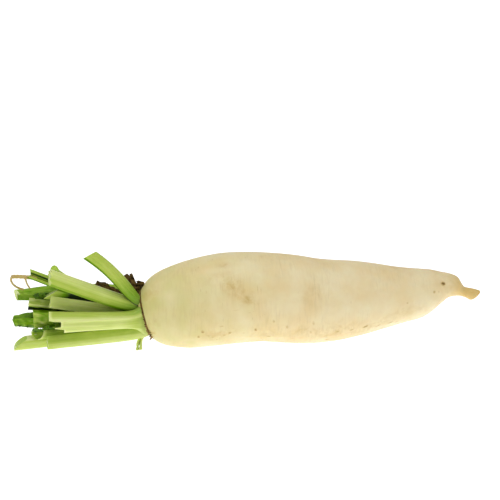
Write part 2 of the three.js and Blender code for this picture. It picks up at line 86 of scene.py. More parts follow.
# Daikon skin: thin waxy cork over white flesh, cream, blushed green where the shoulder stood out of the soil.
def makeRootSkin(look):
    material, add = startMaterial("daikonRootSkin")
    here = add("TexCoord", output="Object")
    blushMark = add("Attribute", output="Fac", attribute_name="blush")
    stainMark = add("Attribute", output="Fac", attribute_name="stain")
    tailMark = add("Attribute", output="Fac", attribute_name="tail")
    scarMark = add("Attribute", output="Fac", attribute_name="scar")

    mottle = add("TexNoise", {"Vector": here, "Scale": 1000 / look["mottleSize"], "Detail": 3})
    mottled = add("MapRange", {"Value": mottle, "From Min": 0.35, "From Max": 0.65})
    cream = add("Mix", {0: mottled, 6: paint(look["cream"]), 7: paint(look["warm"])}, **colourMix)
    shoulder = add("Mix", {0: blushMark, 6: cream, 7: paint(look["green"])}, **colourMix)

    # smudges of soil: placed marks broken up by noise
    patch = add("TexNoise", {"Vector": here, "Scale": 1000 / look["stainSize"], "Detail": 7,
                             "Roughness": 0.62, "Distortion": 0.6})
    patched = add("MapRange", {"Value": patch, "From Min": 0.36, "From Max": 0.66})
    stained = add("Math", {0: stainMark, 1: patched}, operation="MULTIPLY")
    toned = add("Mix", {0: stained, 6: shoulder, 7: paint(look["stain"])}, **colourMix)
    tail = add("Mix", {0: tailMark, 6: toned, 7: paint(look["tail"])}, **colourMix)

    # growth lines run part of the way round the root, in patches
    ringWay = add("Mapping", {"Vector": here, "Scale": (1, 0.16, 0.16)})
    rings = add("TexNoise", {"Vector": ringWay, "Scale": 1000 / look["ringSize"], "Detail": 4})
    ringTone = add("MapRange", {"Value": rings, "From Min": 0.46, "From Max": 0.74,
                                "To Max": look["ringTone"]})
    ringPatch = add("TexNoise", {"Vector": here, "Scale": 1000 / look["ringPatch"], "Detail": 2})
    ringPatch = add("MapRange", {"Value": ringPatch, "From Min": 0.4, "From Max": 0.62})
    ringTone = add("Math", {0: ringTone, 1: ringPatch}, operation="MULTIPLY")
    lined = add("Mix", {0: ringTone, 6: tail, 7: paint(look["line"])}, **colourMix)

    # lenticels: short slits round the root
    slitWay = add("Mapping", {"Vector": here, "Scale": (1, 0.3, 0.3)})
    slits = add("TexVoronoi", {"Vector": slitWay, "Scale": 1000 / look["slitSize"]}, output="Distance")
    slits = add("MapRange", {"Value": slits, "From Min": 0.13, "From Max": 0.04, "To Max": 0.25})
    sparse = add("TexNoise", {"Vector": here, "Scale": 1000 / look["slitPatch"], "Detail": 2})
    sparse = add("MapRange", {"Value": sparse, "From Min": 0.52, "From Max": 0.66})
    slits = add("Math", {0: slits, 1: sparse}, operation="MULTIPLY")
    slitted = add("Mix", {0: slits, 6: lined, 7: paint(look["slit"])}, **colourMix)

    # scars of side roots: placed marks with ragged edges, tan round a dark middle
    ragged = add("TexNoise", {"Vector": here, "Scale": 1000 / look["raggedSize"], "Detail": 4,
                              "Distortion": 0.5})
    scar = add("Math", {0: scarMark, 1: ragged}, operation="MULTIPLY")
    halo = add("MapRange", {"Value": scar, "From Min": 0.06, "From Max": 0.3, "To Max": 0.75})
    core = add("MapRange", {"Value": scar, "From Min": 0.27, "From Max": 0.5, "To Max": 0.8})
    tanned = add("Mix", {0: halo, 6: slitted, 7: paint(look["scarRim"])}, **colourMix)
    final = add("Mix", {0: core, 6: tanned, 7: paint(look["scar"])}, **colourMix)

    grain = add("TexNoise", {"Vector": here, "Scale": 1000 / look["grainSize"], "Detail": 3})
    height = add("Math", {0: ringTone, 1: grain}, operation="ADD")
    height = add("Math", {0: height, 1: core}, operation="SUBTRACT")
    height = add("Math", {0: height, 1: slits}, operation="SUBTRACT")
    relief = add("Bump", {"Height": height, "Strength": 0.3, "Distance": 0.0002})
    gloss = add("MapRange", {"Value": mottle, "To Min": look["rough"] - 0.08, "To Max": look["rough"] + 0.1})
    finishMaterial(add, {"Base Color": final, "Roughness": gloss, "Normal": relief, "Subsurface Weight": 0.3,
                         "Subsurface Radius": (1, 0.7, 0.35), "Subsurface Scale": 0.003, "IOR": 1.4,
                         "Specular IOR Level": 0.4})
    return material


# Leaf stalk skin: smooth, slightly waxy and translucent, with fine ribs that run its length. Its greens run
# on into a near-black painted shade.
def makeStalkSkin(look):
    material, add = startMaterial("leafStalkSkin")
    # section holds millimetres across, through and along the stalk
    section = add("Attribute", output="Vector", attribute_name="section")
    greenMark = add("Attribute", output="Fac", attribute_name="green")
    footMark = add("Attribute", output="Fac", attribute_name="foot")
    dryMark = add("Attribute", output="Fac", attribute_name="dried")
    streakWay = add("Mapping", {"Vector": section, "Scale": (1, 1, 0.05)})
    streaks = add("TexNoise", {"Vector": streakWay, "Scale": 1 / look["streakSize"], "Detail": 4})
    clouds = add("TexNoise", {"Vector": section, "Scale": 1 / look["cloudSize"], "Detail": 3})
    tone = add("Math", {0: streaks, 1: clouds}, operation="ADD")
    tone = add("MapRange", {"Value": tone, "From Min": 0.7, "From Max": 1.35, "To Min": -look["streakTone"],
                            "To Max": look["streakTone"]})
    ribWay = add("Mapping", {"Vector": section, "Scale": (1, 1, 0.012)})
    ribs = add("TexNoise", {"Vector": ribWay, "Scale": 1 / look["ribSize"], "Detail": 2})
    ribTone = add("MapRange", {"Value": ribs, "From Min": 0.5, "From Max": 0.75, "To Max": look["ribTone"]})
    green = add("Math", {0: greenMark, 1: tone}, operation="ADD")
    green = add("Math", {0: green, 1: ribTone}, operation="SUBTRACT")
    lower = add("MapRange", {"Value": green, "From Max": 0.5})
    upper = add("MapRange", {"Value": green, "From Min": 0.5})
    # green from 1 to 1.6 mixes in the darkest colour, a near-black painted shade for the deep gaps in the
    # bunch
    paintedShade = add("MapRange", {"Value": green, "From Min": 1, "From Max": 1.6})
    pale = add("Mix", {0: lower, 6: paint(look["pale"]), 7: paint(look["fresh"])}, **colourMix)
    deep = add("Mix", {0: upper, 6: pale, 7: paint(look["deep"])}, **colourMix)
    deep = add("Mix", {0: paintedShade, 6: deep, 7: paint(look["paintedShade"])}, **colourMix)
    foot = add("Mix", {0: footMark, 6: deep, 7: paint(look["foot"])}, **colourMix)
    final = add("Mix", {0: dryMark, 6: foot, 7: paint(look["dried"])}, **colourMix)
    relief = add("Bump", {"Height": ribs, "Strength": 0.4, "Distance": 0.0003})
    gloss = add("MapRange", {"Value": clouds, "To Min": look["rough"] - 0.1, "To Max": look["rough"] + 0.1})
    finishMaterial(add, {"Base Color": final, "Roughness": gloss, "Normal": relief,
                         "Subsurface Weight": 0.25, "Subsurface Radius": (0.7, 1, 0.3),
                         "Subsurface Scale": 0.0025, "IOR": 1.4, "Specular IOR Level": 0.2})
    return material


# The cut end of a stalk: wet pith inside a greener rim, with a ring of paler bundles.
def makeStalkPith(look):
    material, add = startMaterial("cutStalkPith")
    section = add("Attribute", output="Vector", attribute_name="section")
    rimMark = add("Attribute", output="Fac", attribute_name="rim")
    greenMark = add("Attribute", output="Fac", attribute_name="cutGreen")
    flat = add("Mapping", {"Vector": section, "Scale": (1, 1, 0)})
    bundles = add("TexVoronoi", {"Vector": flat, "Scale": 1 / look["bundleSize"]}, output="Distance")
    bundles = add("MapRange", {"Value": bundles, "From Min": 0.32, "From Max": 0.18})
    band = add("MapRange", {"Value": rimMark, "From Min": 0.45, "From Max": 0.75})
    bundles = add("Math", {0: bundles, 1: band}, operation="MULTIPLY")
    grain = add("TexNoise", {"Vector": section, "Scale": 1 / look["grainSize"], "Detail": 4})
    core = add("Mix", {0: grain, 6: paint(look["core"]), 7: paint(look["wet"])}, **colourMix)
    green = add("Mix", {0: greenMark, 6: core, 7: paint(look["fresh"])}, **colourMix)
    leafy = add("MapRange", {"Value": greenMark, "From Min": 1.1, "From Max": 2})
    blade = add("Mix", {0: grain, 6: paint(look["bladeDark"]), 7: paint(look["bladeBright"])}, **colourMix)
    dotted = add("Mix", {0: bundles, 6: green, 7: paint(look["bundle"])}, **colourMix)
    dotted = add("Mix", {0: leafy, 6: dotted, 7: blade}, **colourMix)
    edge = add("MapRange", {"Value": rimMark, "From Min": 0.86, "From Max": 0.98})
    final = add("Mix", {0: edge, 6: dotted, 7: paint(look["rim"])}, **colourMix)
    height = add("Math", {0: grain, 1: bundles}, operation="ADD")
    relief = add("Bump", {"Height": height, "Strength": 0.5, "Distance": 0.0003})
    finishMaterial(add, {"Base Color": final, "Roughness": look["rough"], "Normal": relief,
                         "Subsurface Weight": 0.3, "Subsurface Radius": (0.8, 1, 0.3),
                         "Subsurface Scale": 0.002, "IOR": 1.38})
    return material


# Leaf blade: crisp dark green with paler veins, quite matt.
def makeLeafBlade(look):
    material, add = startMaterial("radishLeafBlade")
    here = add("TexCoord", output="Object")
    clouds = add("TexNoise", {"Vector": here, "Scale": 1000 / look["cloudSize"], "Detail": 5})
    warp = add("TexNoise", {"Vector": here, "Scale": 1000 / look["veinSize"], "Detail": 2}, output="Color")
    bent = add("Mix", {0: 0.004, 4: here, 5: warp}, output=1, data_type="VECTOR")
    cells = add("TexVoronoi", {"Vector": bent, "Scale": 1000 / look["veinSize"]}, output="Distance",
                feature="DISTANCE_TO_EDGE")
    veins = add("MapRange", {"Value": cells, "From Min": 0.1, "From Max": 0.01, "To Max": 0.14})
    toned = add("MapRange", {"Value": clouds, "From Min": 0.35, "From Max": 0.7})
    leaf = add("Mix", {0: toned, 6: paint(look["dark"]), 7: paint(look["bright"])}, **colourMix)
    veined = add("Mix", {0: veins, 6: leaf, 7: paint(look["vein"])}, **colourMix)
    relief = add("Bump", {"Height": cells, "Strength": 0.6, "Distance": 0.0004})
    finishMaterial(add, {"Base Color": veined, "Roughness": look["rough"], "Normal": relief,
                         "Subsurface Weight": 0.2, "Subsurface Radius": (0.5, 1, 0.2),
                         "Subsurface Scale": 0.0015, "Specular IOR Level": 0.2})
    return material


# Dried leaf bases: papery brown fibre, streaked lengthways, with bleached edges.
def makeDryLeaf(look):
    material, add = startMaterial("driedLeafBase")
    here = add("TexCoord", output="Object")
    strawMark = add("Attribute", output="Fac", attribute_name="straw")
    fibreWay = add("Mapping", {"Vector": here, "Scale": (0.35, 1, 1)})
    fibres = add("TexNoise", {"Vector": fibreWay, "Scale": 1000 / look["fibreSize"], "Detail": 5})
    clouds = add("TexNoise", {"Vector": here, "Scale": 1000 / look["cloudSize"], "Detail": 3})
    toned = add("MapRange", {"Value": clouds, "From Min": 0.35, "From Max": 0.65})
    bark = add("Mix", {0: toned, 6: paint(look["dark"]), 7: paint(look["brown"])}, **colourMix)
    streak = add("MapRange", {"Value": fibres, "From Min": 0.55, "From Max": 0.8, "To Max": 0.5})
    streak = add("Math", {0: streak, 1: strawMark}, operation="MAXIMUM")
    final = add("Mix", {0: streak, 6: bark, 7: paint(look["straw"])}, **colourMix)
    relief = add("Bump", {"Height": fibres, "Strength": 0.8, "Distance": 0.0004})
    finishMaterial(add, {"Base Color": final, "Roughness": look["rough"], "Normal": relief,
                         "Specular IOR Level": 0.25})
    return material


# Sizes of patterns are millimetres. Ribs, fibres, veins and slits are coarser than life, so that they show.
rootSkin = makeRootSkin({
    "cream": "f5e7be", "warm": "f0daa8", "green": "d3d07e", "stain": "c8a658", "tail": "e2c47c",
    "line": "cdb886", "slit": "b08c4c", "scarRim": "c8a964", "scar": "66491f",
    "mottleSize": 26, "stainSize": 7, "ringSize": 1.5, "ringTone": 0.3, "ringPatch": 30,
    "slitSize": 4.2, "slitPatch": 22, "raggedSize": 0.9, "grainSize": 0.7, "rough": 0.42,
})
stalkSkin = makeStalkSkin({
    # the darkest green is painted shade, not a colour of the stalk
    "pale": "e4ec9a", "fresh": "b9cc58", "deep": "72a000", "paintedShade": "122402", "foot": "dfe2a4",
    "dried": "c2a068",
    "streakSize": 2.2, "streakTone": 0.13, "cloudSize": 14, "ribSize": 0.9, "ribTone": 0.14, "rough": 0.4,
})
stalkPith = makeStalkPith({
    "core": "dfe6a4", "wet": "cfdc86", "fresh": "a8c91c", "bundle": "dfe6a0", "rim": "bbd062",
    "bladeDark": "1d3a05", "bladeBright": "6c8c12",
    "bundleSize": 1.5, "grainSize": 0.8, "rough": 0.35,
})
leafBlade = makeLeafBlade({
    "dark": "2f4e02", "bright": "638e10", "vein": "8fb544", "cloudSize": 3, "veinSize": 2, "rough": 0.5,
})
dryLeaf = makeDryLeaf({
    "dark": "2f220a", "brown": "664e18", "straw": "ab8a50", "fibreSize": 0.8, "cloudSize": 3, "rough": 0.85,
})
print("materials made")


# Pieces: shared helpers

def addObject(name, data):
    made = bpy.data.objects.new(name, data)
    bpy.context.collection.objects.link(made)
    return made


def makeMesh(name, bm, materials):
    mesh = bpy.data.meshes.new(name)
    bm.to_mesh(mesh)
    bm.free()
    for material in materials:
        mesh.materials.append(material)
    return mesh


def finishPiece(name, bm, materials, node, sharpAngle=50):
    bmesh.ops.transform(bm, matrix=toFrame, verts=bm.verts)
    bmesh.ops.recalc_face_normals(bm, faces=bm.faces)
    mesh = makeMesh(name, bm, materials)
    mesh.shade_smooth()
    mesh.set_sharp_from_angle(angle=radians(sharpAngle))
    piece = addObject(name, mesh)
    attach(piece, "root")
    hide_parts(node)
    return piece


def newParts(grown, kind):  # what an extrude has just made of one kind
    return [part for part in grown["geom"] if isinstance(part, kind)]


def smoothStep(value, low, high):
    share = min(1, max(0, (value - low) / (high - low)))
    return share * share * (3 - 2 * share)


def bell(value):
    return exp(-value * value)


# The crown, which the stalks stand on

crown = {"middle": Vector((3.2, 0, 26.8)), "lean": 16.5, "turn": 10}
crownLean = tan(radians(crown["lean"]))
crownTurn = tan(radians(crown["turn"]))
crownOut = Vector((-1, crownTurn, -crownLean)).normalized()
crownTop = Vector((-crownLean, 0, 1)).normalized()
crownNear = Vector((-crownTurn, -1, 0)).normalized()


def crownSpoke(turn):  # 0 is the top, 90 the near side
    angle = radians(turn)
    return crownTop * cos(angle) + crownNear * sin(angle)


# The root

radishRoot = {
    "outline": [  # x, radius, height of the middle
        (2.2, 0, 27.4), (2.6, 8, 27.5), (3.4, 14.5, 27.5), (4.2, 17.6, 27.5), (5.4, 19, 27.4),
        (7.2, 21.1, 27.4), (10, 23.7, 28), (14, 26.6, 29.3), (20, 29.4, 30.9), (28, 31.8, 32.5),
        (38, 34, 34.2), (50, 35.3, 36), (63, 35.8, 37.7), (79, 35.5, 38.9), (95, 35.3, 38.8),
        (112, 35.1, 36.8), (128, 34.5, 34.9), (144, 33.1, 33.3), (160, 31.6, 32.8), (176, 29.3, 33.3),
        (193, 25.8, 34.1), (209, 22.5, 34.7), (225, 19.7, 35.8), (234, 16.7, 38), (242, 12.5, 40.6),
        (248, 9.7, 42.4), (253.5, 8.2, 42.1), (256.6, 7.1, 41), (259.2, 5.1, 38.5), (261.8, 3.9, 36.5),
        (266.4, 3.7, 35.1), (270.6, 3.4, 33.5), (271.6, 1.8, 33.2), (271.8, 0, 33.1),
    ],
    "sides": 232, "ringStep": 0.85,
    "flattened": 0.7,  # how deep its weight flattens the skin that it lies on
    "tailSlant": 1.1,  # of the broken end: sideways run over height
    "dentDeep": 0.4, "wrinkleDeep": 0.05, "scarDeep": 0.4,
    "scars": [  # x, degrees from the top to the far side, half size along, half size round, lean, depth
        (47.1, -111, 1.2, 1.3, 0, 0.9), (43.8, -119, 1, 1.2, 0, 0.9), (51.6, -119, 1.3, 0.8, 0, 0.4),
        (55.5, -124, 1.4, 0.8, 0, 0.4), (61.7, -107, 2, 0.8, 0.3, 0.5), (68.9, -119, 1.6, 0.9, 0.5, 0.9),
        (64.4, -123, 2.2, 0.7, 0.6, 0.6), (58.6, -130, 2.4, 0.6, 0.7, 0.5), (89.3, -117, 1.1, 1.3, 0, 1),
        (80, -123, 1.4, 0.8, 0, 0.35), (100.2, -132, 1.8, 1, 0, 0.6), (103.3, -104, 1.2, 1.6, 0.2, 0.5),
        (113.8, -112, 1.2, 2, 0.3, 0.5), (118.7, -135, 1.8, 0.9, 0, 0.45),
        (134.4, -104, 1, 2.2, 0.2, 0.5), (133.3, -120, 0.9, 2.2, 0.2, 0.4),
        (147.4, -141, 2.2, 1.4, 0, 0.6), (155.2, -121, 2, 1, 0.4, 0.6), (166.7, -122, 2.6, 1, 0.5, 0.7),
        (177.3, -121, 2.8, 1.2, 0.5, 0.9), (188.4, -127, 2.8, 0.8, 0.6, 0.7),
        (192.4, -139, 2.2, 0.7, 0.4, 0.6), (198.3, -127, 2.8, 0.6, 0.4, 0.8),
        (204.3, -130, 2.4, 0.7, 0.3, 0.6), (215.4, -137, 2, 0.7, 0.3, 0.4),
        (211.2, -87, 0.9, 0.9, 0, 0.6), (233.9, -74, 1.1, 1.2, 0, 0.7), (237.6, -79, 0.8, 1.1, 0, 0.4),
        (242, -58, 1.7, 1.4, 0, 1.3), (91, -62, 0.5, 4, 0, 0.35), (93.6, -64, 0.45, 3.4, 0, 0.3),
        (74, -87, 4.5, 0.5, 0.1, 0.28), (84, -91, 5, 0.5, 0.3, 0.32), (94, -96, 4.5, 0.5, 0.55, 0.3),
    ],
    "farScars": {"count": 26, "turn": 62, "spread": 14, "from": 40, "to": 235, "seed": 5},
    "stains": [  # x, degrees, half size along, half size round, lean, strength
        (63, -50, 6, 4, 0.2, 0.4), (71, -57, 8, 6, 0.4, 0.8), (76, -66, 6, 5, 0.6, 0.7),
        (83, -72, 7, 5, 0.5, 0.8), (90, -78, 4, 3, 0.5, 0.3), (62, -44, 14, 7, 0.1, 0.3),
        (66, -25, 6, 4, 0, 0.5), (14, -40, 8, 7, 0.2, 0.5), (14, -92, 5, 6, 0, 0.3),
        (9, -104, 2.5, 6, 0, 1), (10, -117, 3, 4, 0, 1), (133, -66, 12, 8, 0.3, 0.35),
        (60, -120, 16, 6, 0.3, 0.5), (96, -126, 16, 5, 0.1, 0.45), (124, -121, 12, 6, 0.3, 0.5),
        (150, -120, 30, 9, 0, 0.5), (185, -124, 22, 6, 0.3, 0.55), (210, -110, 20, 8, 0.1, 0.35),
        (120, 50, 20, 9, 0.3, 0.5), (60, 95, 12, 9, 0.4, 0.5), (180, 120, 18, 8, -0.3, 0.45),
        (205, 10, 10, 7, 0, 0.3), (160, 175, 18, 12, 0, 0.4),
    ],
    "sideRoots": [(254, 185, 5), (236, 118, 4), (190, 104, 4.5)],  # x, degrees, length
}


def traceOutline(form):  # a smooth curve through the outline, with a ring every ringStep
    points = [Vector(p) for p in form["outline"]]
    ends = [2 * points[0] - points[1], *points, 2 * points[-1] - points[-2]]
    traced = [points[0]]
    for before, start, end, after in zip(ends, ends[1:], ends[2:], ends[3:]):
        count = max(2, ceil(hypot(end.x - start.x, end.y - start.y) / form["ringStep"]) + 1)
        handles = start + (end - before) / 6, end - (after - start) / 6
        traced += interpolate_bezier(start, *handles, end, count)[1:]
    return traced


def rootSwing(x):  # how far the root's middle swings to the far side
    return 3.5 * sin(x / 274 * pi) * (x / 274) - 1.2 * sin(x / 150 * pi)


def rootPoint(form, x, radius, middle, around):  # a place on the skin, with no section a true circle
    oval = 0.012 * cos(2 * around - 0.9) + 0.008 * cos(3 * around + x / 45)
    waists = 0.006 * sin(x / 9 + 2 * sin(around)) * min(1, x / 60)
    radius *= 1 + (oval + waists) * min(1, max(0, (x - 4) / 12))
    up, far = radius * cos(around), radius * sin(around)
    upright = exp(-(max(0, x - 4.2) / 26) ** 1.4)  # the crown's lean dies away along the root
    slant = form["tailSlant"] * min(1, max(0, (x - 262) / 8))
    height = max(middle + up - form["flattened"], 0)
    return Vector((x - (crownLean * up - crownTurn * far) * upright + slant * up, rootSwing(x) + far, height))


def colourSkin(vert, marks, x, around):  # green at the shoulder, tan at the tail, brown on the crown plate
    drift = 9 * noise.noise(vert.co / 26)
    nearSide = cos(around + radians(72))
    patchy = 1 + 0.5 * noise.noise(vert.co / 9)
    shoulderBlush = (0.27 + 0.23 * nearSide) * bell((x - 16 + drift) / 30)
    bodyBlush = 0.2 * bell((x - 60) / 45)
    rimBlush = (0.2 + 0.15 * nearSide) * bell((x - 5) / 8)
    crownPlate = 1 - smoothStep(x, 4.2, 5.6)
    vert[marks["blush"]] = patchy * (shoulderBlush + bodyBlush) + rimBlush
    vert[marks["tail"]] = smoothStep(x + 0.6 * drift, 241, 262)
    vert[marks["stain"]] = 0.08 + 0.2 * smoothStep(x, 225, 250) + 0.8 * crownPlate
    vert[marks["scar"]] = 0.45 * crownPlate


def dentSkin(bm, form, marks):  # dents, wrinkles and scar pits only go inwards, so the root keeps its size
    for vert in bm.verts:
        if vert.co.z > 0.05:
            dent = form["dentDeep"] * (0.5 + 0.5 * noise.noise(vert.co / 16))
            wave = Vector((vert.co.x / 1.7, vert.co.y / 14, vert.co.z / 14))
            wrinkle = form["wrinkleDeep"] * (0.5 + 0.5 * noise.noise(wave))
            pit = form["scarDeep"] * vert[marks["scar"]]
            vert.co -= vert.normal * min(dent + wrinkle + pit, vert.co.z)


def growSideRoot(bm, marks, vert, length):  # drawn out of the skin in steps, thinner each time
    out = (vert.normal + Vector((0.45, 0, 0))).normalized()
    region = list(vert.link_faces)
    for step in range(5):
        grown = bmesh.ops.extrude_face_region(bm, geom=region)
        bmesh.ops.delete(bm, geom=region, context="FACES_KEEP_BOUNDARY")
        tips = newParts(grown, bmesh.types.BMVert)
        region = newParts(grown, bmesh.types.BMFace)
        middle = sum((tip.co for tip in tips), Vector()) / len(tips)
        droop = Vector((0.1, 0, -0.12)) * step
        for tip in tips:
            tip.co = middle + (tip.co - middle) * 0.82 + (out + droop) * length / 5
            tip[marks["scar"]] = 0.25
            tip[marks["stain"]] = 0.8


def drawRoot(form):
    bm = bmesh.new()
    middleOf = bm.verts.layers.float.new("middle")
    marks = {name: bm.verts.layers.float.new(name) for name in ("blush", "stain", "tail", "scar")}
    profile = []
    for x, radius, middle in traceOutline(form):
        vert = bm.verts.new((x, 0, max(radius, 0)))
        vert[middleOf] = middle
        profile.append(vert)
    for one, other in zip(profile, profile[1:]):
        bm.edges.new((one, other))
    bmesh.ops.spin(bm, geom=[*bm.verts, *bm.edges], axis=(1, 0, 0), cent=(0, 0, 0),
                   angle=tau, steps=form["sides"], use_merge=True)
    bmesh.ops.remove_doubles(bm, verts=bm.verts, dist=0.0005)

    spots = kdtree.KDTree(len(bm.verts))
    for index, vert in enumerate(bm.verts):
        x, radius, around = vert.co.x, hypot(vert.co.y, vert.co.z), atan2(vert.co.y, vert.co.z)
        vert.co = rootPoint(form, x, radius, vert[middleOf], around)
        spots.insert(vert.co, index)
        colourSkin(vert, marks, x, around)
    spots.balance()
    bm.verts.ensure_lookup_table()
    bm.normal_update()

    outline = form["outline"]

    def skinSpot(x, turn):  # the vertex nearest to a place that is given along and round the root
        after = next(i for i, point in enumerate(outline) if point[0] > x)
        (x0, r0, c0), (x1, r1, c1) = outline[after - 1], outline[after]
        share = (x - x0) / (x1 - x0)
        there = rootPoint(form, x, r0 + (r1 - r0) * share, c0 + (c1 - c0) * share, radians(turn))
        return bm.verts[spots.find(there)[1]]

    def markSkin(layer, x, turn, halfLong, halfRound, lean, strength):
        centre = skinSpot(x, turn)
        sideways = Vector((1, 0, 0)).cross(centre.normal).normalized()
        for where, index, _ in spots.find_range(centre.co, 2.6 * max(halfLong, halfRound)):
            offset = where - centre.co
            alongBy, roundBy = offset.x, offset.dot(sideways)
            alongBy, roundBy = alongBy + lean * roundBy, roundBy - lean * alongBy
            amount = strength * bell(hypot(alongBy / halfLong, roundBy / halfRound))
            vert = bm.verts[index]
            vert[layer] = max(vert[layer], amount)

    scars = list(form["scars"])
    far = form["farScars"]
    pick = random.Random(far["seed"])
    for i in range(far["count"]):
        x = far["from"] + (far["to"] - far["from"]) * (i + pick.random()) / far["count"]
        turn = far["turn"] + far["spread"] * pick.uniform(-1, 1)
        scars.append((x, turn, pick.uniform(0.8, 2.6), pick.uniform(0.6, 1.6), pick.uniform(-0.4, 0.6),
                      pick.uniform(0.3, 1)))
    for scar in scars:
        markSkin(marks["scar"], *scar)
    for stain in form["stains"]:
        markSkin(marks["stain"], *stain)
    sideRoots = [(skinSpot(x, turn), length) for x, turn, length in form["sideRoots"]]
    dentSkin(bm, form, marks)
    for vert, length in sideRoots:
        growSideRoot(bm, marks, vert, length)
    return finishPiece("daikonRoot", bm, [rootSkin], "root", sharpAngle=70)


drawRoot(radishRoot)
print("root made")
